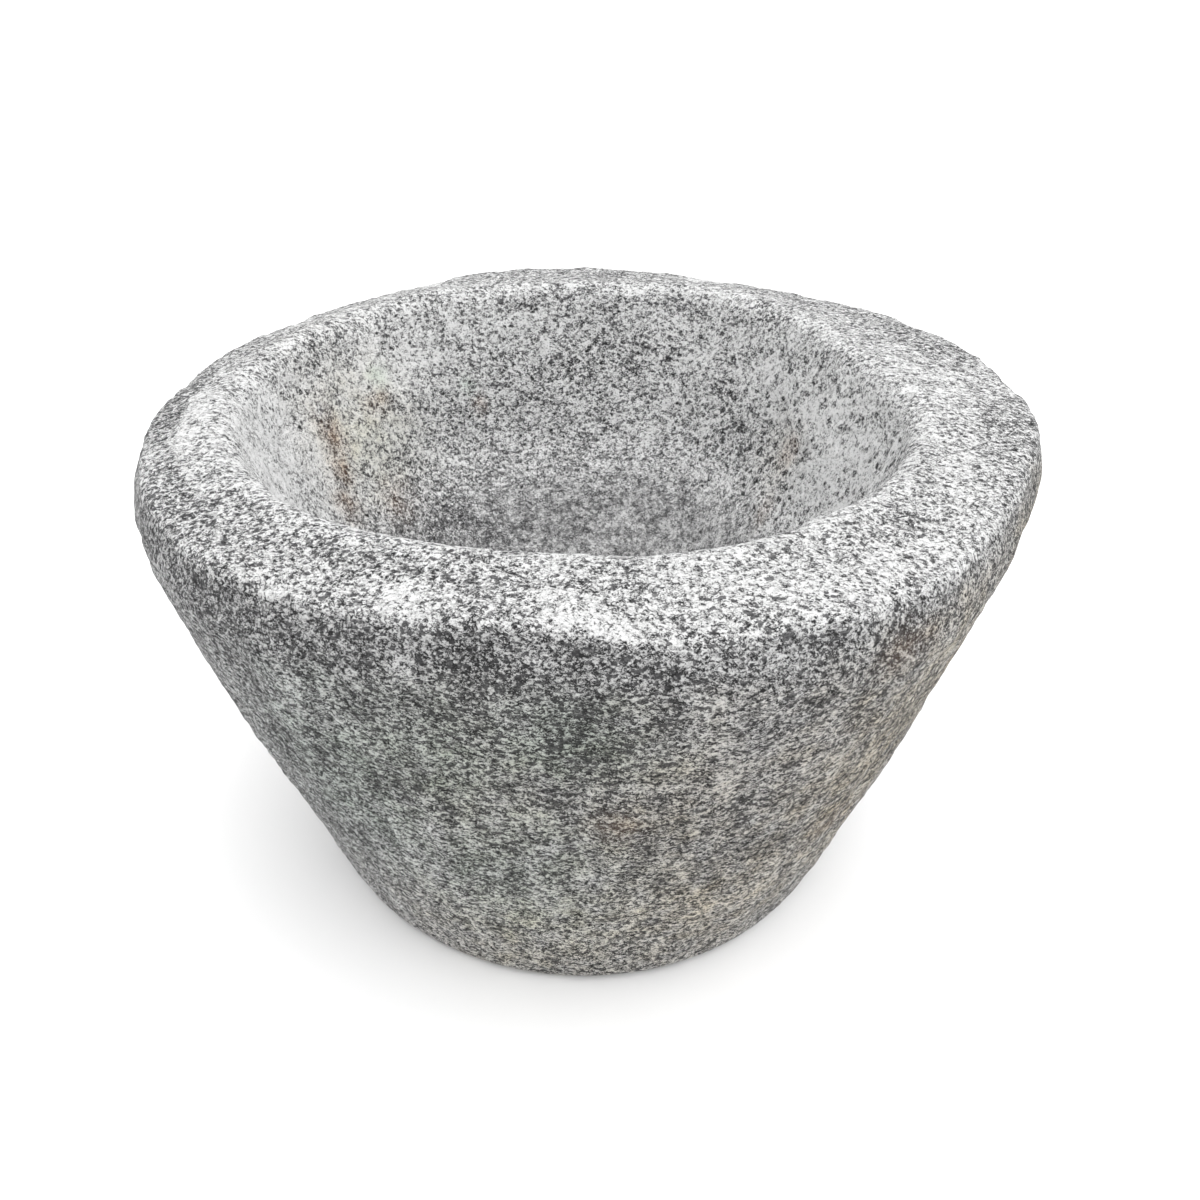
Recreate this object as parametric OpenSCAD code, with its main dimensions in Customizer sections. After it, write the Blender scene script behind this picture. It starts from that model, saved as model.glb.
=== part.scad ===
// Bowl mortar (molcajete without legs), carved by hand from one block of granite.
// It stands on a flat foot, widens to a thick rim and holds a round grinding hollow.
// The whole object is one stone: it has no second piece, no joint and no fastener.
//
// Millimetres, +Z up. The origin is on the floor under the middle of the foot.
// An angle of 0 points along +X and 90 along +Y.

/* [Outside] */
// Mean diameter at the widest ring, just under the rim
rim_d = 400; // [380:5:420]
// Height from the floor to the crown of the rim
bowl_h = 232; // [210:1:250]
// Mean diameter of the foot
foot_d = 272; // [240:2:290]
// How far the wall bows out at mid-height
wall_bow = 2; // [0:0.5:6]
// Radius of the worn edge round the foot
foot_edge_r = 9; // [4:1:12]

/* [Rim] */
// Height of the upright band under the rim's outer edge
band_h = 20; // [18:1:26]
// How far the upright band leans in
band_in = 5; // [1:1:8]
// Radius of the soft bend between the wall and the band
bend_r = 40; // [30:2:50]
// Radius of the worn outer edge
outer_edge_r = 7; // [4:0.5:8]
// Fall of the rim's top face, from its crown to its outer edge
rim_fall = 6; // [3:1:9]
// Thickness of the stone across the rim
rim_w = 55; // [48:1:60]
// Radius of the worn lip over the hollow
lip_r = 12; // [8:1:14]

/* [Hollow] */
// Thickness of the stone left under the hollow
floor_t = 76; // [60:2:100]
// Power of the hollow's curve: 2 is a parabola, and more gives a flatter floor and steeper walls
hollow_power = 2.4; // [2:0.1:3]

/* [Hand carving] */
// Share of the out-of-round shape that is kept: 0 is a true round, 1 is the carved shape
carving = 1; // [0:0.1:1]

/* [Mesh] */
// Facets round the bowl
segments = 72; // [48:12:84]

/* [Hidden] */

// Lobes of each outline: how many, how far they stand out in millimetres, and the angle of the first.
rim_lobes = [[2, 2.5, 45], [3, 1.8, -30], [4, 3.2, 22], [5, 2.2, 11], [6, 1.4, -7]];
foot_lobes = [[2, 1, 45], [3, 2.6, 33]];
hollow_lobes = [[3, 3, -42], [4, 1.4, -38], [5, 1.6, -12], [6, 1.3, -7]];

// Where the middles of the rim and the hollow lie, over the middle of the foot.
rim_shift = [4, 1.5];
hollow_shift = [-6, 0];

rim_r = rim_d / 2;
foot_r = foot_d / 2;
foot_stock = 2;                             // extra stone under the foot, which the flat cut takes off
rim_corner_z = bowl_h - rim_fall;
bend_z = rim_corner_z - band_h;             // height of the widest ring
crown_r = rim_r - rim_w + lip_r;            // where the top face meets the lip

wall_lean = atan((rim_r - foot_r) / bend_z);
band_lean = atan(band_in / band_h);

// Points of an arc about c, from angle a to angle b, both ends included.
function arc(c, r, a, b, steps) =
    [for (i = [0 : steps]) let (t = a + (b - a) * i / steps) c + r * [cos(t), sin(t)]];
function last(list) = list[len(list) - 1];

foot_edge = arc([foot_r - foot_edge_r, foot_edge_r], foot_edge_r, -90, -wall_lean, 3);
bend = arc([rim_r - bend_r, bend_z], bend_r, -wall_lean, band_lean, 4);

// The wall between the foot's edge and the bend, bowed out as a half sine.
wall_steps = 10;
bow_way = [cos(wall_lean), -sin(wall_lean)];
wall = [for (i = [1 : wall_steps - 1]) let (t = i / wall_steps)
    last(foot_edge) * (1 - t) + bend[0] * t + wall_bow * sin(180 * t) * bow_way];

// The outer edge's arc touches the band's line below it and the top face above it.
edge_from_z = rim_corner_z - outer_edge_r * (1 - sin(band_lean));
edge_from_r = last(bend)[0] - tan(band_lean) * (edge_from_z - last(bend)[1]);
edge_c = [edge_from_r - outer_edge_r * cos(band_lean), rim_corner_z - outer_edge_r];
top_slope = atan(rim_fall / (edge_c[0] - crown_r));
outer_edge = arc(edge_c, outer_edge_r, band_lean, 90 - top_slope, 4);
lip = arc([crown_r, bowl_h - lip_r], lip_r, 90 - top_slope, 160, 6);

// The hollow: its height over the floor grows as a power of its radius.
mouth = last(lip);
hollow_steps = 13;
function hollow_z(r) = floor_t + (mouth[1] - floor_t) * pow(r / mouth[0], hollow_power);
hollow = [for (i = [1 : hollow_steps - 1]) let (r = mouth[0] * (1 - i / hollow_steps)) [r, hollow_z(r)]];

// The whole section: the underside of the foot, the outside, the rim, and down to the floor of the hollow.
outside = concat([[foot_r - foot_edge_r, -foot_stock]], foot_edge, wall, bend, outer_edge);
inside = concat(lip, hollow);
section = concat(outside, inside);
rings = len(section);

// How far a list of lobes moves the outline at angle a.
function lobes_at(lobes, a, i = 0) =
    i == len(lobes) ? 0 : lobes[i][1] * cos(lobes[i][0] * (a - lobes[i][2])) + lobes_at(lobes, a, i + 1);

// Share of the way from the foot (0) to the widest ring (1).
function up(z) = max(0, min(1, z / bend_z));

// How far out a point of ring i stands at angle a, and how far the whole ring is shifted.
// On the outside both change from the foot's to the rim's; in the hollow the lobes fade towards its middle.
function reach(i, a) = let (r = section[i][0], u = up(section[i][1]))
    r + carving * (i < len(outside)
        ? lobes_at(foot_lobes, a) * (1 - u) + lobes_at(rim_lobes, a) * u
        : lobes_at(hollow_lobes, a) * min(1, r / mouth[0]));
function shift(i) = carving * (i < len(outside) ? rim_shift * up(section[i][1]) : hollow_shift);
function carved(i, a) = let (r = reach(i, a), s = shift(i))
    [r * cos(a) + s[0], r * sin(a) + s[1], section[i][1]];

module rough_bowl() {
    foot_centre = rings * segments;
    hollow_centre = foot_centre + 1;
    points = concat(
        [for (i = [0 : rings - 1], k = [0 : segments - 1]) carved(i, 360 * k / segments)],
        [[0, 0, -foot_stock], [carving * hollow_shift[0], carving * hollow_shift[1], floor_t]]);
    function at(i, k) = i * segments + k % segments;
    sides = [for (i = [0 : rings - 2], k = [0 : segments - 1], half = [0, 1])
        half == 0 ? [at(i, k), at(i + 1, k), at(i + 1, k + 1)] : [at(i, k), at(i + 1, k + 1), at(i, k + 1)]];
    underside = [for (k = [0 : segments - 1]) [foot_centre, at(0, k), at(0, k + 1)]];
    hollow_floor = [for (k = [0 : segments - 1]) [hollow_centre, at(rings - 1, k + 1), at(rings - 1, k)]];
    polyhedron(points = points, faces = concat(sides, underside, hollow_floor), convexity = 4);
}

// The finished bowl: the carved shape, with its foot dressed flat so that it stands.
module bowl() {
    color("silver") difference() {
        rough_bowl();
        translate([-rim_d, -rim_d, -2 * foot_stock]) cube([2 * rim_d, 2 * rim_d, 2 * foot_stock]);
    }
}

bowl();
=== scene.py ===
import math

import bpy
import numpy as np
from mathutils import Matrix, Vector


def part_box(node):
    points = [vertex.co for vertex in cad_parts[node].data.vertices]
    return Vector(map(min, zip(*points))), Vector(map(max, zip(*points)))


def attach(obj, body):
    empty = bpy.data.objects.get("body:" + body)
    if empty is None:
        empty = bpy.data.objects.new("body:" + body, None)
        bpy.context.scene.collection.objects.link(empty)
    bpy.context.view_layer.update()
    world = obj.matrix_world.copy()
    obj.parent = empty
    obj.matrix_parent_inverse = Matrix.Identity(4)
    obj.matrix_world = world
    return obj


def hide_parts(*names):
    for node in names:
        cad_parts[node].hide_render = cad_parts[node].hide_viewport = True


# Looks for a mortar bowl carved by hand from one block of granite.
# Metres and +Z up, in the CAD's own frame: the origin is on the floor under the middle of the foot.
# Angles are in degrees, from +X towards +Y, so 270 is the side that faces the camera.
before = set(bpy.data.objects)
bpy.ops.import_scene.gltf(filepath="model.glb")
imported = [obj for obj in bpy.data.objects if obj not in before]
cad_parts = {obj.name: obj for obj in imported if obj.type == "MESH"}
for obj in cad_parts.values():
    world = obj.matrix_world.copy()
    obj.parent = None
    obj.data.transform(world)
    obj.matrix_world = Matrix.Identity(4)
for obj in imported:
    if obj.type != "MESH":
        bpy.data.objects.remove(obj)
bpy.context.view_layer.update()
MM = 0.001

# ---------------------------------------------------------------- the bowl's section, in millimetres
# The height is the CAD's. The rest repeats the CAD's driving sizes.
BOWL_H = round(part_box("bowl")[1][2] / MM)
RIM_R = 200.0
FOOT_R = 136.0
WALL_BOW = 2.0
FOOT_EDGE_R = 9.0
BAND_H = 20.0
BAND_IN = 5.0
BEND_R = 40.0
OUTER_EDGE_R = 5.0
RIM_FALL = 6.0
RIM_W = 55.0
LIP_R = 12.0
LIP_END = 160.0
FLOOR_T = 76.0
HOLLOW_POWER = 2.4
RIM_LOBES = ((2, 2.5, 45), (3, 1.8, -30), (4, 3.2, 22), (5, 2.2, 11), (6, 1.4, -7))
FOOT_LOBES = ((2, 1.0, 45), (3, 2.6, 33))
HOLLOW_LOBES = ((3, 3.0, -42), (4, 1.4, -38), (5, 1.6, -12), (6, 1.3, -7))
RIM_SHIFT = (4.0, 1.5)
HOLLOW_SHIFT = (-6.0, 0.0)
CORNER_Z = BOWL_H - RIM_FALL
BEND_Z = CORNER_Z - BAND_H
CROWN_R = RIM_R - RIM_W + LIP_R

# How finely the surface is divided.
LINE_STEP = 0.5
FACETS = 512
RING_GAP = 2.62
FOOT_RING_GAP = 5.0
FULL_FACETS_R = 78.0


def arc(centre, radius, start, end):
    """Points of a circle's arc, about a step apart: centre plus radius times (cos, sin), with the angle going
    evenly from start to end."""
    steps = max(3, int(abs(math.radians(end - start)) * radius / LINE_STEP))
    angle = np.radians(np.linspace(start, end, steps + 1))
    return np.stack([centre[0] + radius * np.cos(angle), centre[1] + radius * np.sin(angle)], axis=1)


def straight(start, end):
    """Points about a step apart along a straight line, both ends left out."""
    start, end = np.asarray(start, float), np.asarray(end, float)
    steps = max(2, int(np.linalg.norm(end - start) / LINE_STEP))
    share = np.linspace(0, 1, steps + 1)[1:-1, None]
    return start + share * (end - start)


def evenly(line, gap):
    """Points a gap apart along a line: its columns interpolated over the length of its first two."""
    length = np.concatenate([[0], np.cumsum(np.hypot(*np.diff(line[:, :2], axis=0).T))])
    steps = max(2, int(round(length[-1] / gap)))
    where = np.linspace(0, length[-1], steps + 1)
    return np.stack([np.interp(where, length, column) for column in line.T], axis=1)


def section():
    """The bowl's section as rows of (radius, height, over). It runs from the middle of the foot's underside
    up the outside, over the rim and down to the middle of the hollow. over is 0 outside and 1 inside, and
    grows evenly across the top face. The edges are arcs, the wall is a line bowed by a half sine, and the
    hollow's height grows as a power of its radius."""
    wall_lean = math.degrees(math.atan((RIM_R - FOOT_R) / BEND_Z))
    band_lean = math.degrees(math.atan(BAND_IN / BAND_H))
    foot_edge = arc((FOOT_R - FOOT_EDGE_R, FOOT_EDGE_R), FOOT_EDGE_R, -90, -wall_lean)
    bend = arc((RIM_R - BEND_R, BEND_Z), BEND_R, -wall_lean, band_lean)
    wall = straight(foot_edge[-1], bend[0])
    along = np.linspace(0, 1, len(wall) + 2)[1:-1, None]
    lean = math.radians(wall_lean)
    wall += WALL_BOW * np.sin(np.pi * along) * np.array([[math.cos(lean), -math.sin(lean)]])

    tilt = math.radians(band_lean)
    edge_z = CORNER_Z - OUTER_EDGE_R * (1 - math.sin(tilt))
    edge_r = bend[-1][0] - math.tan(tilt) * (edge_z - bend[-1][1])
    centre = (edge_r - OUTER_EDGE_R * math.cos(tilt), CORNER_Z - OUTER_EDGE_R)
    slope = math.degrees(math.atan(RIM_FALL / (centre[0] - CROWN_R)))
    outer_edge = arc(centre, OUTER_EDGE_R, band_lean, 90 - slope)
    lip = arc((CROWN_R, BOWL_H - LIP_R), LIP_R, 90 - slope, LIP_END)
    top_face = straight(outer_edge[-1], lip[0])

    mouth_r, mouth_z = lip[-1]
    radius = np.linspace(mouth_r, 0, 400)[1:]
    hollow = np.stack([radius, FLOOR_T + (mouth_z - FLOOR_T) * (radius / mouth_r) ** HOLLOW_POWER], axis=1)

    outside = np.concatenate([foot_edge, wall, bend, outer_edge])
    inside = np.concatenate([lip, hollow])
    points = np.concatenate([outside, top_face, inside])
    over = np.concatenate([np.zeros(len(outside)), np.linspace(0, 1, len(top_face)), np.ones(len(inside))])
    upper = evenly(np.column_stack([points, over]), RING_GAP)
    underside = evenly(np.array([[0.0, 0.0, 0.0], [FOOT_R - FOOT_EDGE_R, 0.0, 0.0]]), FOOT_RING_GAP)
    return np.concatenate([underside[:-1], upper])


def lobes(pattern, angle):
    """Sum of cosine waves round the bowl: each is (how many, how far out, angle of the first)."""
    return sum(out * np.cos(count * (angle - math.radians(first))) for count, out, first in pattern)


def carved(radius, height, over, angle):
    """Points of the out-of-round bowl, in millimetres. The outline is the round one plus lobes and a shift,
    which go from the foot's to the rim's with height, and to the hollow's across the top face."""
    up = np.clip(height / BEND_Z, 0, 1)
    mouth_r = CROWN_R + LIP_R * math.cos(math.radians(LIP_END))
    foot = lobes(FOOT_LOBES, angle) * (1 - up) * np.clip(radius / FOOT_R, 0, 1)
    outer = foot + lobes(RIM_LOBES, angle) * up
    inner = lobes(HOLLOW_LOBES, angle) * np.clip(radius / mouth_r, 0, 1)
    reach = radius + outer * (1 - over) + inner * over
    x = reach * np.cos(angle) + RIM_SHIFT[0] * up * (1 - over) + HOLLOW_SHIFT[0] * over
    y = reach * np.sin(angle) + RIM_SHIFT[1] * up * (1 - over) + HOLLOW_SHIFT[1] * over
    return np.stack([x, y, height], axis=1)


# ---------------------------------------------------------------- the mesh
def facets_of(radius, underside):
    """Facets round a ring. They halve each time the radius halves, and the underside has half as many."""
    halvings = np.ceil(np.log2(FULL_FACETS_R / np.maximum(radius, 0.5)))
    halvings = np.clip(halvings, 0, 5) + np.where(underside, 1, 0)
    return (FACETS / 2 ** np.minimum(halvings, 5)).astype(int)


def strip(first_a, count_a, first_b, count_b):
    """Triangles between two rings of points, of which one may have twice as many points as the other."""
    k = np.arange(min(count_a, count_b))
    if count_a == count_b:
        a0, a1 = first_a + k, first_a + (k + 1) % count_a
        b0, b1 = first_b + k, first_b + (k + 1) % count_b
        return np.concatenate([np.stack(corners, 1) for corners in ((a0, a1, b1), (a0, b1, b0))])
    if count_a > count_b:
        a0, a1, a2 = first_a + 2 * k, first_a + 2 * k + 1, first_a + (2 * k + 2) % count_a
        b0, b1 = first_b + k, first_b + (k + 1) % count_b
        fan = (a0, a1, b0), (a1, b1, b0), (a1, a2, b1)
        return np.concatenate([np.stack(corners, 1) for corners in fan])
    a0, a1 = first_a + k, first_a + (k + 1) % count_a
    b0, b1, b2 = first_b + 2 * k, first_b + 2 * k + 1, first_b + (2 * k + 2) % count_b
    fan = (a0, b1, b0), (a0, a1, b1), (a1, b2, b1)
    return np.concatenate([np.stack(corners, 1) for corners in fan])


def grid():
    """The bowl's points as (radius, height, over, angle) and its triangles. Each row of the section becomes a
    ring, and its two ends, the middles of the foot and of the hollow, become one point each."""
    line = section()
    middle = line[1:-1]
    underside = (middle[:, 1] < 1e-6) & (middle[:, 2] == 0)
    counts = facets_of(middle[:, 0], underside)
    firsts = 1 + np.concatenate([[0], np.cumsum(counts)])
    ring = np.repeat(np.arange(len(middle)), counts)
    angle = 2 * np.pi * (np.arange(len(ring)) - (firsts[:-1] - 1)[ring]) / counts[ring]
    rows = np.vstack([line[:1], middle[ring], line[-1:]])
    angle = np.concatenate([[0], angle, [0]])
    last = firsts[-1]
    k = np.arange(counts[0])
    triangles = [np.stack([0 * k, 1 + (k + 1) % counts[0], 1 + k], 1)]
    for a in range(len(middle) - 1):
        triangles.append(strip(firsts[a], counts[a], firsts[a + 1], counts[a + 1]))
    k = np.arange(counts[-1])
    triangles.append(np.stack([firsts[-2] + k, firsts[-2] + (k + 1) % counts[-1], 0 * k + last], 1))
    return rows[:, 0], rows[:, 1], rows[:, 2], angle, np.concatenate(triangles)


def normals_of(points, triangles):
    """Unit normal at each point: the sum of the area vectors of the triangles that meet there."""
    a, b, c = (points[triangles[:, i]] for i in range(3))
    area = np.cross(b - a, c - a)
    corner = triangles.T.ravel()
    total = np.stack([np.bincount(corner, np.tile(area[:, i], 3), len(points)) for i in range(3)], 1)
    return total / np.maximum(np.linalg.norm(total, axis=1, keepdims=True), 1e-12)


# ---------------------------------------------------------------- repeatable patterns in space
# The largest pit's radius, in lattice cells.
LARGEST_PIT_R = 0.5


def lattice_random(cell, seed):
    """A random number from 0 to 1 for each whole-numbered point of space, mixed from its three indices."""
    index = cell.astype(np.int64).astype(np.uint64)
    mixed = index[:, 0] * np.uint64(73856093) ^ index[:, 1] * np.uint64(19349663)
    mixed ^= index[:, 2] * np.uint64(83492791) ^ np.uint64(seed * 2654435761 % 2 ** 32)
    mixed &= np.uint64(0xFFFFFFFF)
    for fold, factor in ((15, 2246822519), (13, 3266489917)):
        mixed = ((mixed ^ (mixed >> np.uint64(fold))) * np.uint64(factor)) & np.uint64(0xFFFFFFFF)
    mixed ^= mixed >> np.uint64(16)
    return mixed.astype(float) / 0xFFFFFFFF


def noise(points, size, seed):
    """Smooth noise from about -1 to 1, with swells about size across. Each corner of a lattice holds a random
    slope, and the eight slopes round a point are blended by a fifth-power ease."""
    scaled = points / size
    cell = np.floor(scaled)
    part = scaled - cell
    ease = part ** 3 * (part * (part * 6 - 15) + 10)
    total = np.zeros(len(points))
    for corner in np.ndindex(2, 2, 2):
        corner = np.array(corner, float)
        slope = np.stack([lattice_random(cell + corner, seed + axis) * 2 - 1 for axis in range(3)], 1)
        weight = np.prod(np.where(corner == 1, ease, 1 - ease), axis=1)
        total += weight * np.sum((part - corner) * slope, axis=1)
    return total * 1.8


def pits(points, size, seed):
    """Depth from 0 to 1 of round pits, one to each lattice cell: a pit is a parabola about a random middle,
    with a random radius and depth, and the deepest pit at a point counts."""
    scaled = points / size
    cell = np.floor(scaled)
    depth = np.zeros(len(points))
    for step in np.ndindex(3, 3, 3):
        near = cell + np.array(step) - 1.0
        middle = near + np.stack([lattice_random(near, seed + axis) for axis in range(3)], 1) * 0.8 + 0.1
        radius = LARGEST_PIT_R * (0.55 + 0.45 * lattice_random(near, seed + 3))
        strength = 0.35 + 0.65 * lattice_random(near, seed + 4)
        away = np.sum((scaled - middle) ** 2, axis=1) / radius ** 2
        depth = np.maximum(depth, strength * np.clip(1 - away, 0, 1))
    return depth


def scallops(points, size, seed):
    """Shallow dished dents that meet in ridges: the square of the distance to the nearest random middle."""
    scaled = points / size
    cell = np.floor(scaled)
    nearest = np.full(len(points), 9.0)
    for step in np.ndindex(3, 3, 3):
        near = cell + np.array(step) - 1.0
        middle = near + np.stack([lattice_random(near, seed + axis) for axis in range(3)], 1)
        nearest = np.minimum(nearest, np.sum((scaled - middle) ** 2, axis=1))
    return np.clip(nearest, 0, 1)


def rise(value, low, high):
    """Smooth step from 0 at low to 1 at high; low may be the greater of the two."""
    share = np.clip((value - low) / (high - low), 0, 1)
    return share * share * (3 - 2 * share)


# ---------------------------------------------------------------- hand work and wear
# Each kind of hand work: (size, depth) in millimetres.
BROAD_LUMP = (95, 1.0)
LUMP = (42, 0.6)
FLUTE = (22, 1.2)
FLUTE_LENGTH = 110
DENT = (19, 1.3)
WIDE_PECK = (8.0, 0.9)
SMALL_PECK = (5.2, 0.45)
COARSE_GRIT = (6.0, 0.45)
FINE_GRIT = (3.6, 0.20)
# Waves of the rim's outer edge: (angle, rise, half-width in degrees).
EDGE_WAVES = ((277, -2.4, 8), (262, 1.6, 8), (292, 1.9, 8), (244, -0.9, 7), (310, -1.2, 9), (333, 1.0, 9),
              (2, -0.8, 10), (30, 1.3, 12), (60, -1.5, 13), (97, 1.0, 13), (128, -1.3, 10), (152, 0.9, 10),
              (180, -0.8, 12), (205, 1.2, 10), (226, 0.6, 8))
# Chips off the outer edge: (angle, height, half-width round the rim, half-width across it, depth).
CHIPS = ((279, 224, 17, 6, 2.0), (270, 226, 13, 5, 1.5), (250, 213, 9, 9, 1.7), (303, 226, 12, 5, 1.7),
         (236, 225, 12, 5, 1.2), (318, 221, 9, 7, 1.5), (8, 224, 16, 6, 2.0), (33, 225, 9, 5, 1.3),
         (70, 225, 15, 6, 1.6), (96, 225, 10, 5, 1.4), (119, 225, 13, 6, 1.7), (148, 225, 15, 6, 1.9),
         (174, 224, 12, 6, 1.4), (197, 224, 17, 6, 1.8), (219, 225, 9, 5, 1.2), (342, 224, 10, 5, 1.3))


def turn_to(angle, degrees):
    """Turn in degrees, from -180 to 180, between each point's angle and a given one."""
    return (np.degrees(angle) - degrees + 180) % 360 - 180


def edge_wave(angle):
    """Height of the outer edge over its mean: bell-shaped waves."""
    return sum(up * np.exp(-(turn_to(angle, where) / half) ** 2) for where, up, half in EDGE_WAVES)


def patch(stone, where, height, wide, tall, zone=None):
    """A soft round mark, 1 in its middle, at an angle and a height: a bell over the distance measured in its
    half-widths round the bowl and up it. zone keeps it on one side of the stone."""
    round_it = np.radians(turn_to(stone["angle"], where)) * stone["radius"] / wide
    up_it = (stone["height"] - height) / tall
    mark = np.exp(-round_it ** 2 - up_it ** 2)
    return mark if zone is None else mark * stone[zone]


def zones(stone):
    """Where each kind of surface is, from 0 to 1: outside, inside, foot, wall, rim's top, lip, hollow and the
    worn floor of the hollow. The outside is darkened below a ragged line just under its upper edge, less
    towards the foot: partly weathering, partly painted shade that keeps the side faces darker than the lit
    top. The pecked surface has deep pits, most of all on the hollow's right side."""
    radius, height, over = stone["radius"], stone["height"], stone["over"]
    stone["outside"] = (over < 0.5).astype(float)
    stone["inside"] = 1 - stone["outside"]
    stone["foot"] = rise(height, 9, 1) * stone["outside"]
    stone["wall"] = rise(height, 4, 20) * rise(height, 214, 200) * stone["outside"]
    stone["top"] = rise(height, CORNER_Z - 7, CORNER_Z - 1) * rise(radius, 141, 152)
    stone["lip"] = np.exp(-((radius - 153) / 9) ** 2) * rise(height, 205, 226) * rise(over, 0.3, 1.0)
    stone["hollow"] = stone["inside"] * rise(height, 228, 216)
    stone["worn"] = stone["inside"] * rise(height, 172, 122)
    # The outside is darkened below its upper edge, less towards the foot: weathering, and painted shade that
    # keeps the side faces darker than the lit top.
    ragged = 2.0 * noise(stone["points"], 9, 161)
    below_edge = rise(height + ragged, CORNER_Z - 1, CORNER_Z - 6) * stone["outside"]
    stone["weathered_and_shaded"] = below_edge * (0.45 + 0.55 * rise(height, 20, 130))
    right = np.exp(-(turn_to(stone["angle"], 10) / 50) ** 2)
    stone["pecked"] = 0.35 * stone["outside"] + (0.5 + 0.5 * right) * stone["hollow"] * (1 - stone["worn"])


def swells(at, kind, seed):
    """Noise of one kind of hand work's size, times its depth."""
    size, depth = kind
    return depth * noise(at, size, seed)


def relief(stone):
    """How far the stone stands out of its plain shape, in millimetres: broad lumps, chisel flutes down the
    wall, hammer dents, pecked pits and grit, each less where the stone is worn smooth, minus the chips."""
    at, angle = stone["points"], stone["angle"]
    rough = 1 - 0.80 * stone["worn"]
    lumps = swells(at, BROAD_LUMP, 11) + swells(at, LUMP, 21)
    flute_at = np.stack([angle * RIM_R / FLUTE[0], stone["height"] / FLUTE_LENGTH, 0 * angle], 1)
    flutes = FLUTE[1] * noise(flute_at, 1.0, 31) * stone["wall"]
    dents = DENT[1] * (scallops(at, DENT[0], 41) - 0.35) * (0.65 + 0.35 * stone["hollow"])
    right = patch(stone, 10, 180, 190, 70, "inside")
    left = patch(stone, 180, 195, 60, 40, "inside")
    side = 0.55 + 0.45 * right - 0.25 * left
    pecked = 0.55 * stone["wall"] + 0.75 * stone["top"] + 1.15 * stone["hollow"] * side + 0.35 * stone["foot"]
    pecks = -WIDE_PECK[1] * pits(at, WIDE_PECK[0], 51) * pecked
    pecks -= SMALL_PECK[1] * pits(at, SMALL_PECK[0], 61) * (0.3 + 0.7 * pecked)
    grit = swells(at, COARSE_GRIT, 71) + swells(at, FINE_GRIT, 81)
    out = lumps + (flutes + dents + pecks + grit * (1 - 0.5 * stone["lip"])) * rough
    ragged = 0.75 + 0.5 * noise(at, 7, 91)
    for where, height, wide, across, depth in CHIPS:
        from_edge = np.hypot(stone["height"] - height, np.minimum(stone["radius"] - 195, 3)) / across
        round_it = np.radians(turn_to(angle, where)) * stone["radius"] / wide
        out -= depth * ragged * np.exp(-(from_edge ** 2 + round_it ** 2) ** 1.5) * stone["outside"]
    settled = -0.5 * np.abs(out)
    return out * (1 - stone["foot"]) + settled * stone["foot"]


# Marks on the stone: (angle, height, half-width round it, half-width up it, strength).
BRUISES_OUT = ((267, 228, 13, 5, 0.9), (272, 226, 15, 3, 0.9), (250, 227, 13, 5, 0.9), (250, 211, 6, 9, 0.8),
               (303, 227, 12, 5, 0.5), (237, 226, 12, 5, 0.6), (296, 229, 60, 9, 0.5), (287, 168, 9, 7, 0.8),
               # The row at 305 degrees and 216 mm high pales the top of the dark band on the right, so the
               # lit top fades down over the shoulder: painted light.
               (320, 229, 50, 9, 0.4), (305, 216, 44, 9, 0.15), (285, 153, 4, 12, 0.8),
               (283, 130, 4, 13, 0.6), (264, 110, 9, 6, 0.6), (262, 161, 11, 9, 0.45),
               (8, 225, 16, 6, 0.7), (70, 227, 14, 6, 0.7), (119, 227, 14, 6, 0.8), (148, 227, 15, 6, 0.7),
               (197, 226, 16, 6, 0.7), (96, 130, 10, 14, 0.5), (40, 160, 9, 12, 0.5), (160, 120, 8, 16, 0.5),
               (330, 140, 7, 14, 0.4))
BRUISES_IN = ((190, 204, 66, 36, 1.3), (168, 182, 44, 28, 1.0), (138, 204, 44, 26, 1.0),
              (120, 222, 60, 9, 0.5), (333, 226, 40, 8, 0.6), (5, 190, 90, 38, 1.4),
              (35, 195, 50, 30, 0.9), (60, 225, 40, 7, 0.4), (290, 231, 70, 9, 0.4))
# The rows from 204 to 215 mm high darken the steep band just under the rim's outer edge, all round: painted
# shade under the lit top, with some grime.
DARK_AND_SHADE_OUT = ((256, 214, 44, 8, 0.8), (275, 215, 24, 7, 0.7), (295, 211, 22, 8, 0.3), (236, 210, 30, 10, 0.25),
            (246, 185, 34, 12, 0.2), (260, 184, 34, 10, 0.4), (275, 188, 30, 8, 0.4), (240, 170, 20, 24, 0.2),
            (188, 229, 60, 8, 0.7), (262, 150, 50, 30, 0.3), (20, 205, 40, 14, 0.6), (75, 206, 44, 12, 0.7),
            (130, 205, 40, 14, 0.6), (175, 204, 34, 12, 0.5), (274, 229, 8, 3, 0.5))
DARK_IN = ((92, 182, 60, 34, 0.9), (73, 204, 22, 10, 0.4), (28, 172, 22, 20, 0.3), (105, 150, 50, 30, 0.4),
           (60, 172, 40, 30, 0.4), (122, 172, 34, 26, 0.7), (140, 135, 40, 30, 0.8))
RUST_IN = ((160, 190, 7, 11, 1.0), (163, 174, 7, 8, 0.8), (168, 162, 8, 8, 0.6), (143, 192, 9, 6, 0.5),
           (115, 177, 4, 4, 0.6), (25, 178, 7, 8, 0.5), (22, 150, 5, 7, 0.4), (150, 150, 12, 10, 0.35))
RUST_OUT = ((273, 128, 10, 9, 0.35), (310, 90, 14, 10, 0.3), (303, 205, 12, 10, 0.3), (15, 100, 14, 12, 0.4),
            (135, 150, 10, 14, 0.4))
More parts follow.
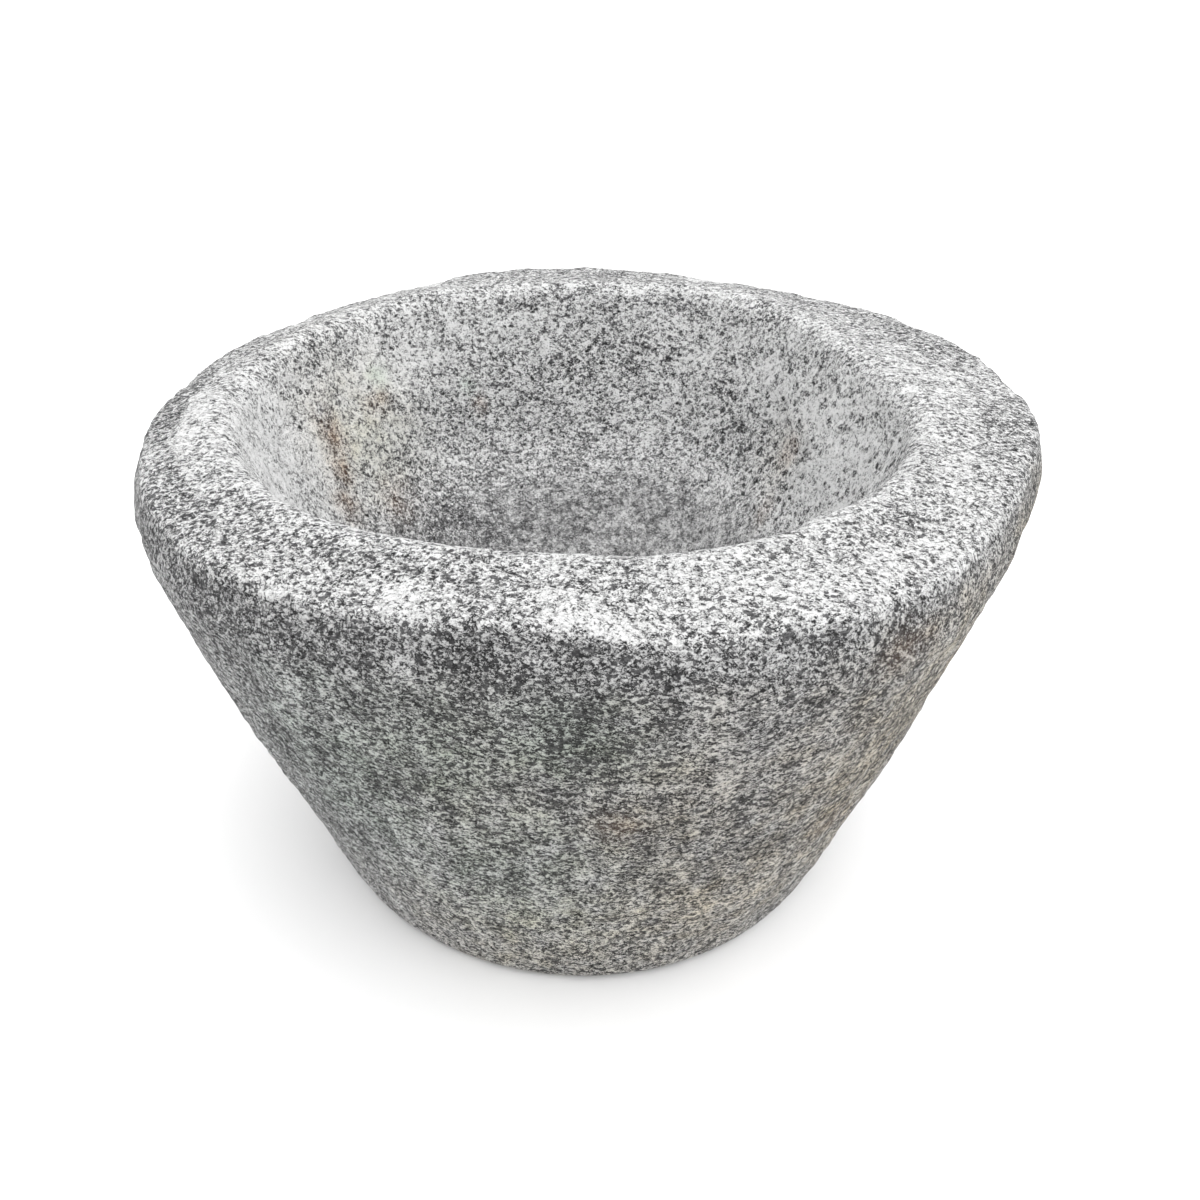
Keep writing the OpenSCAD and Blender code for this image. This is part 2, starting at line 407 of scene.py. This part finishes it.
MOSS_OUT = ((266, 176, 34, 24, 1.0), (252, 160, 34, 36, 0.9), (240, 130, 44, 70, 0.8), (258, 90, 50, 60, 0.7),
            (85, 120, 50, 40, 0.5), (200, 110, 60, 60, 0.6))
MOSS_IN = ((140, 203, 8, 6, 0.8), (117, 187, 4, 4, 0.9), (150, 180, 26, 26, 0.3))
WARM_OUT = ((315, 130, 80, 100, 1.0), (345, 160, 80, 90, 1.0), (290, 60, 80, 60, 0.7), (262, 30, 70, 50, 0.5),
            (280, 130, 50, 70, 0.5), (258, 140, 50, 60, 0.3), (30, 150, 80, 80, 0.5), (130, 90, 90, 70, 0.4))
WARM_IN = ((152, 186, 36, 30, 0.4), (28, 174, 16, 16, 0.2))


def marks(stone, outer, inner):
    """The strongest of a list of marks at each point."""
    found = np.zeros(len(stone["angle"]))
    for zone, listed in (("outside", outer), ("inside", inner)):
        for where, height, wide, tall, strength in listed:
            found = np.maximum(found, strength * patch(stone, where, height, wide, tall, zone))
    return found


def surface_marks(stone):
    """The stone's marks at every point, from 0 to 1, or a little over 1 for the palest and the most weathered
    and shaded stone. Some are painted shade: the band under the rim's edge, the darkened outside, and the
    light and shade of the wall's ridges and recesses. Noise breaks up their outlines."""
    at = stone["points"]
    blot = 1 + 0.55 * noise(at, 13, 101) + 0.35 * noise(at, 6, 111)
    crest = stone["lip"] * (0.55 + 0.35 * noise(at, 34, 121))
    band_top = 212 + 14 * np.exp(-(turn_to(stone["angle"], 328) / 44) ** 2)
    ragged = stone["height"] + 4 * noise(at, 12, 191)
    below_band = np.maximum(stone["inside"], rise(ragged - band_top, 0, -16))
    rough_hollow = stone["hollow"] * (1 - stone["worn"])
    chalky = 0.6 * rough_hollow
    # Streaks drawn out down the wall stand in for the light and shade of its ragged vertical ridges: painted
    # light and shade.
    down_it = np.stack([stone["angle"] * RIM_R / 9, stone["height"] / 40, 0 * stone["angle"]], 1)
    tone_and_relief_shade = 0.4 * noise(down_it, 1.0, 171) * stone["wall"]
    tone_and_relief_shade += 0.2 * noise(at, 26, 141) + (0.3 + 0.2 * stone["inside"]) * noise(at, 10, 181)
    # Stone sunk below its plain shape is darker and stone standing out is paler: dirt and painted shade in
    # the recesses, painted light on the lumps.
    tone_and_relief_shade = tone_and_relief_shade * (1 - 0.3 * stone["worn"]) + 0.12 * np.clip(stone["out"] + 0.4, -2, 1.5)
    rust = np.clip(marks(stone, RUST_OUT, RUST_IN) * blot, 0, 1)
    # dark holds the painted shade under the rim's outer edge, with the dark patches and rust.
    dark = np.clip(marks(stone, DARK_AND_SHADE_OUT, DARK_IN) * blot + 0.6 * rust, 0, 1)
    pale = np.maximum(np.maximum(marks(stone, BRUISES_OUT, BRUISES_IN), crest), chalky)
    return {
        "bruise": np.clip(pale * blot * (1 - 0.7 * rust), 0, 1 + 0.45 * stone["hollow"]),
        "dark": dark,
        "rust": rust,
        "moss": np.clip(marks(stone, MOSS_OUT, MOSS_IN) * blot * below_band, 0, 1),
        "warm": np.clip(marks(stone, WARM_OUT, WARM_IN) * blot * below_band, 0, 1),
        "worn": np.clip(stone["worn"] + 0.15 * noise(at, 22, 131) * stone["inside"], 0, 1),
        # The darkened outside: weathering and painted shade.
        "weathered_and_shaded": np.clip(stone["weathered_and_shaded"] * (1 - 0.6 * tone_and_relief_shade), 0, 1.5),
        # Mottling with the painted light and shade of the wall's ridges and recesses.
        "mottled_and_shaded": np.clip(0.5 + tone_and_relief_shade, 0, 1),
        "contrast": 1.4 + 0.55 * dark - 0.95 * stone["worn"] - 0.15 * rough_hollow,
        "pecked": np.clip(stone["pecked"] + 0.3 * noise(at, 18, 151), 0, 1),
    }


def mesh_object(name, points, triangles, values):
    """A mesh of triangles, in metres and shaded smooth, with one float attribute for each entry of values."""
    mesh = bpy.data.meshes.new(name)
    mesh.vertices.add(len(points))
    mesh.vertices.foreach_set("co", points.astype(np.float32).ravel())
    mesh.loops.add(triangles.size)
    mesh.loops.foreach_set("vertex_index", triangles.astype(np.int32).ravel())
    mesh.polygons.add(len(triangles))
    mesh.polygons.foreach_set("loop_start", np.arange(0, triangles.size, 3, dtype=np.int32))
    mesh.polygons.foreach_set("use_smooth", np.ones(len(triangles), bool))
    for key, value in values.items():
        mesh.attributes.new(key, "FLOAT", "POINT").data.foreach_set("value", value.astype(np.float32))
    mesh.update(calc_edges=True)
    mesh.validate()
    obj = bpy.data.objects.new(name, mesh)
    bpy.context.scene.collection.objects.link(obj)
    return obj


def carve_bowl():
    """The whole stone: the carved shape with its edge waved up and down, moved along its normals by the
    relief and kept above the floor."""
    radius, height, over, angle, triangles = grid()
    stone = {"radius": radius, "height": height, "over": over, "angle": angle}
    points = carved(radius, height, over, angle)
    near_edge = rise(height, BEND_Z, CORNER_Z) * rise(over, 0.9, 0.0)
    points[:, 2] += edge_wave(angle) * near_edge
    stone["points"] = points
    zones(stone)
    stone["out"] = relief(stone)
    points = points + normals_of(points, triangles) * stone["out"][:, None]
    points[:, 2] = np.maximum(points[:, 2], 0)
    return mesh_object("carved_bowl", points * MM, triangles, surface_marks(stone))


# ---------------------------------------------------------------- granite
class Nodes:
    """Short ways to add the nodes of one material. A socket or a plain value may be given for any input."""

    def __init__(self, name):
        self.material = bpy.data.materials.new(name)
        self.material.use_nodes = True
        self.tree = self.material.node_tree
        self.tree.nodes.clear()

    def add(self, kind, inputs=None, **settings):
        made = self.tree.nodes.new(kind)
        for key, value in settings.items():
            setattr(made, key, value)
        for key, value in (inputs or {}).items():
            if isinstance(value, bpy.types.NodeSocket):
                self.tree.links.new(value, made.inputs[key])
            else:
                made.inputs[key].default_value = value
        return made

    def maths(self, operation, a, b=0.0):
        return self.add("ShaderNodeMath", {0: a, 1: b}, operation=operation).outputs[0]

    def noise(self, where, size, detail=2.0, rough=0.5, distortion=0.0):
        found = self.add("ShaderNodeTexNoise", {"Vector": where, "Scale": 1 / size, "Detail": detail,
                                                "Roughness": rough, "Distortion": distortion})
        return found.outputs["Fac"]

    def remap(self, value, low, high, to_low=0.0, to_high=1.0):
        ends = {"Value": value, "From Min": low, "From Max": high, "To Min": to_low, "To Max": to_high}
        return self.add("ShaderNodeMapRange", ends).outputs["Result"]

    def random_cell(self, where, size):
        cells = self.add("ShaderNodeTexVoronoi", {"Vector": where, "Scale": 1 / size})
        return self.add("ShaderNodeSeparateColor", {"Color": cells.outputs["Color"]}).outputs["Red"]

    def mark(self, name):
        return self.add("ShaderNodeAttribute", attribute_name=name).outputs["Fac"]

    def mix(self, share, a, b, blend="MIX"):
        made = self.add("ShaderNodeMix", data_type="RGBA", blend_type=blend)
        for socket, value in ((made.inputs[0], share), (made.inputs[6], a), (made.inputs[7], b)):
            if isinstance(value, bpy.types.NodeSocket):
                self.tree.links.new(value, socket)
            else:
                socket.default_value = value
        return made.outputs[2]

    def ramp(self, value, stops):
        made = self.add("ShaderNodeValToRGB", {"Fac": value})
        while len(made.color_ramp.elements) < len(stops):
            made.color_ramp.elements.new(0.5)
        for element, (place, colour) in zip(made.color_ramp.elements, stops):
            element.position = place
            element.color = (*colour, 1)
        return made.outputs["Color"]


# Sizes in the granite, in millimetres.
CRYSTAL = 1.3
FLAKE = 1.7
FINE_GRAIN = 0.9
MEDIUM_GRAIN = 2.8
JITTER = 1.7
CREVICE = 2.2
CREVICE_BREAK = 2.6
PIT = 6.0
SOFT_PATCH = 5.0
SPECKLE = 7.0
GRIT = 0.6
BUMP = 1.3
# The grain's pattern is squeezed by these along X, Y and Z, which draws it out by about a fifth along X.
SQUEEZE = (0.95, 1.15, 1.25)
# Each mineral's tone, from dark to pale, and its colour.
MINERALS = ((0.15, (0.02, 0.02, 0.021)), (0.32, (0.10, 0.10, 0.102)), (0.42, (0.25, 0.25, 0.25)),
            (0.52, (0.44, 0.44, 0.44)), (0.63, (0.62, 0.62, 0.62)), (0.78, (0.80, 0.80, 0.80)),
            (1.0, (0.86, 0.86, 0.86)))
MICA = (0.06, 0.06, 0.063, 1)
# The black that darkens the outside below its edge: weathering and painted shade.
WEATHERING_AND_SHADE = (0.0, 0.0, 0.0, 1)
WARM_FILM = (1.0, 0.89, 0.70, 1)
GREEN_FILM = (0.85, 0.95, 0.87, 1)
RUST_FILM = (0.90, 0.74, 0.62, 1)
RUST_CORE = (0.14, 0.08, 0.055, 1)


def jittered(n, grain):
    """The grain's coordinates, each moved by a fine noise about zero, so that the cells have rough edges."""
    noise_3d = n.add("ShaderNodeTexNoise", {"Vector": grain, "Scale": 1 / (FINE_GRAIN * MM), "Detail": 2.0})
    centred = {0: noise_3d.outputs["Color"], 1: (0.5, 0.5, 0.5)}
    nudge = n.add("ShaderNodeVectorMath", centred, operation="SUBTRACT").outputs[0]
    by = (JITTER * MM, JITTER * MM, JITTER * MM)
    return n.add("ShaderNodeVectorMath", {0: nudge, 1: by, 2: grain}, operation="MULTIPLY_ADD").outputs[0]


def crystal_tone(n, grain, crystal):
    """Tone of the crystals, about 0 to 1: each cell's random number blended with fine and medium noise."""
    fine = n.noise(grain, FINE_GRAIN * MM, 2.0, 0.65, 0.8)
    medium = n.noise(grain, MEDIUM_GRAIN * MM, 2.0, 0.55)
    tone = n.maths("MULTIPLY", crystal, 0.30)
    tone = n.maths("ADD", tone, n.maths("MULTIPLY", n.remap(fine, 0.25, 0.75), 0.60))
    return n.maths("ADD", tone, n.maths("MULTIPLY", n.remap(medium, 0.3, 0.7), 0.10))


def crevices(n, here, grain):
    """Thin dark lines, 1 in their middles, where a noise crosses its middle value: dirt and painted shade in
    fine crevices. Another noise breaks them up."""
    line = n.noise(grain, CREVICE * MM, 2.0, 0.6, 0.8)
    line = n.maths("ABSOLUTE", n.maths("SUBTRACT", line, 0.5))
    broken = n.remap(n.noise(here, CREVICE_BREAK * MM, 1.0), 0.42, 0.56)
    return n.maths("MULTIPLY", n.remap(line, 0.08, 0.02), broken)


def pecked_pits(n, moved):
    """Dark pits, 1 in their middles: the middles of large cells, wider where the stone is more pecked. Their
    darkness is dirt and painted shade.
    """
    away = n.add("ShaderNodeTexVoronoi", {"Vector": moved, "Scale": 1 / (PIT * MM)}).outputs["Distance"]
    reach = n.maths("MULTIPLY", n.mark("pecked"), 0.38)
    return n.remap(n.maths("SUBTRACT", away, reach), 0.07, -0.06)


def wear_and_shade_shift(n, here, worn, weathered_and_shaded):
    """How much wear and painted shade lighten the tone. Bruises add to it, and dark patches with the painted
    shade under the rim's edge, weathering with painted shade on the outside, and worn stone take away.
    Mottling with the painted light and shade of the wall's ridges and recesses, and the worn stone's soft
    patches, do either."""
    soft = n.remap(n.noise(here, SOFT_PATCH * MM, 2.0, 0.55), 0.3, 0.7, -0.09, 0.09)
    shift = n.maths("MULTIPLY", n.mark("bruise"), 0.25)
    for mark, by in ((n.mark("dark"), 0.10), (weathered_and_shaded, 0.06), (worn, 0.155)):
        shift = n.maths("SUBTRACT", shift, n.maths("MULTIPLY", mark, by))
    # Mottling with the painted light and shade of the wall's ridges and recesses.
    shift = n.maths("ADD", shift, n.remap(n.mark("mottled_and_shaded"), 0, 1, -0.09, 0.09))
    return n.maths("ADD", shift, n.maths("MULTIPLY", soft, worn))


def stained(n, here, colour, tone):
    """The colour under a speckled warm film, green film and rust. Dark grains hold the darkest rust."""
    speckle = n.remap(n.noise(here, SPECKLE * MM, 3.0), 0.35, 0.65, 0.65, 1.0)
    for mark, film in (("warm", WARM_FILM), ("moss", GREEN_FILM)):
        colour = n.mix(n.maths("MULTIPLY", n.mark(mark), speckle), colour, film, "MULTIPLY")
    rust = n.maths("MULTIPLY", n.mark("rust"), speckle)
    colour = n.mix(rust, colour, RUST_FILM, "MULTIPLY")
    return n.mix(n.maths("MULTIPLY", rust, n.remap(tone, 0.64, 0.38)), colour, RUST_CORE)


def granite():
    """Pecked light granite: pale feldspar and grey quartz crystals a little over 1 mm across, with flakes of
    dark mica. The crystals' tone is spread by the contrast mark, shifted by wear and by painted shade, and
    cut by crevices and pits that are painted dark with dirt and shade, and a ramp turns tone into mineral. A
    second set of cells picks the mica, which bruises hide. The bump follows the tone, with the mica and some
    grit."""
    n = Nodes("granite")
    here = n.add("ShaderNodeTexCoord").outputs["Object"]
    grain = n.add("ShaderNodeVectorMath", {0: here, 1: SQUEEZE}, operation="MULTIPLY").outputs[0]
    moved = jittered(n, grain)
    crystal = n.random_cell(moved, CRYSTAL * MM)
    flake = n.random_cell(moved, FLAKE * MM)
    worn, weathered_and_shaded = n.mark("worn"), n.mark("weathered_and_shaded")
    shift = wear_and_shade_shift(n, here, worn, weathered_and_shaded)

    spread = n.maths("SUBTRACT", crystal_tone(n, grain, crystal), 0.5)
    spread = n.maths("MULTIPLY", spread, n.mark("contrast"))
    tone = n.maths("ADD", n.maths("ADD", spread, 0.605), shift)
    # Dirt and painted shade in the crevices, less on the worn floor.
    crevice_depth = n.remap(worn, 0, 1, 0.42, 0.14)
    tone = n.maths("SUBTRACT", tone, n.maths("MULTIPLY", crevices(n, here, grain), crevice_depth))
    # Dirt and painted shade in the pecked pits.
    tone = n.maths("SUBTRACT", tone, n.maths("MULTIPLY", pecked_pits(n, moved), 0.32))
    mica = n.remap(n.maths("ADD", flake, n.maths("MULTIPLY", shift, 0.5)), 0.15, 0.11)
    mica = n.maths("MULTIPLY", mica, n.remap(worn, 0, 1, 0.85, 0.45))
    colour = n.mix(mica, n.ramp(tone, MINERALS), MICA)
    # The outside darkened below its edge: weathering and painted shade.
    colour = n.mix(n.maths("MULTIPLY", weathered_and_shaded, 0.29), colour, WEATHERING_AND_SHADE)
    colour = stained(n, here, colour, tone)

    height = n.maths("SUBTRACT", n.maths("MULTIPLY", tone, 0.75), n.maths("MULTIPLY", mica, 0.15))
    height = n.maths("ADD", height, n.maths("MULTIPLY", n.noise(here, GRIT * MM, 1.0), 0.2))
    strength = n.remap(worn, 0, 1, 1.0, 0.4)
    bump = n.add("ShaderNodeBump", {"Height": height, "Strength": strength, "Distance": BUMP * MM})
    surface = n.add("ShaderNodeBsdfPrincipled", {"Base Color": colour, "Normal": bump.outputs["Normal"],
                                                 "Roughness": n.remap(crystal, 0.0, 1.0, 0.92, 0.62)})
    surface.inputs["Specular IOR Level"].default_value = 0.35
    n.add("ShaderNodeOutputMaterial", {"Surface": surface.outputs[0]})
    return n.material


# ---------------------------------------------------------------- floor, light and camera
def plain(name, colour, roughness):
    """One even matte finish."""
    n = Nodes(name)
    surface = n.add("ShaderNodeBsdfPrincipled", {"Base Color": (*colour, 1), "Roughness": roughness})
    n.add("ShaderNodeOutputMaterial", {"Surface": surface.outputs[0]})
    return n.material


def studio():
    """A plain pale floor under an even white sky, and one large soft light above and to the right."""
    half = 20.0
    mesh = bpy.data.meshes.new("floor")
    corners = [(-half, -half, 0), (half, -half, 0), (half, half, 0), (-half, half, 0)]
    mesh.from_pydata(corners, [], [(0, 1, 2, 3)])
    floor = bpy.data.objects.new("floor", mesh)
    bpy.context.scene.collection.objects.link(floor)
    mesh.materials.append(plain("pale_floor", (0.90, 0.90, 0.90), 0.9))

    world = bpy.data.worlds.new("studio")
    world.use_nodes = True
    sky = world.node_tree.nodes["Background"]
    sky.inputs["Color"].default_value = (1, 1, 1, 1)
    sky.inputs["Strength"].default_value = 1.35
    bpy.context.scene.world = world

    lamp = bpy.data.lights.new("soft_light", "SUN")
    lamp.energy = 1.7
    lamp.angle = math.radians(75)
    sun = bpy.data.objects.new("soft_light", lamp)
    sun.rotation_euler = Vector((-0.35, 0.12, -1.0)).to_track_quat("-Z", "Y").to_euler()
    bpy.context.scene.collection.objects.link(sun)
    bpy.context.scene.view_settings.view_transform = "Standard"


def camera():
    """A camera in front of the bowl, looking down into it and rolled by about half a degree. Its place and
    aim are in bowl heights, and its lens is in millimetres."""
    unit = BOWL_H * MM
    place = Vector((0.0, -2.353, 1.977)) * unit
    aim = Vector((0.0295, 0.0, 0.519)) * unit
    roll = math.radians(0.56)
    back = (place - aim).normalized()
    right = Vector((0, 0, 1)).cross(back).normalized()
    up = back.cross(right)
    side = right * math.cos(roll) + up * math.sin(roll)
    top = up * math.cos(roll) - right * math.sin(roll)
    data = bpy.data.cameras.new("camera")
    data.sensor_width = 36.0
    data.lens = 38.69
    data.clip_start = 0.02
    obj = bpy.data.objects.new("camera", data)
    turned = Matrix((side, top, back)).transposed()
    obj.matrix_world = Matrix.Translation(place) @ turned.to_4x4()
    bpy.context.scene.collection.objects.link(obj)
    bpy.context.scene.camera = obj


camera()
studio()
bowl = carve_bowl()
bowl.data.materials.append(granite())
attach(bowl, "root")
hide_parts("bowl")
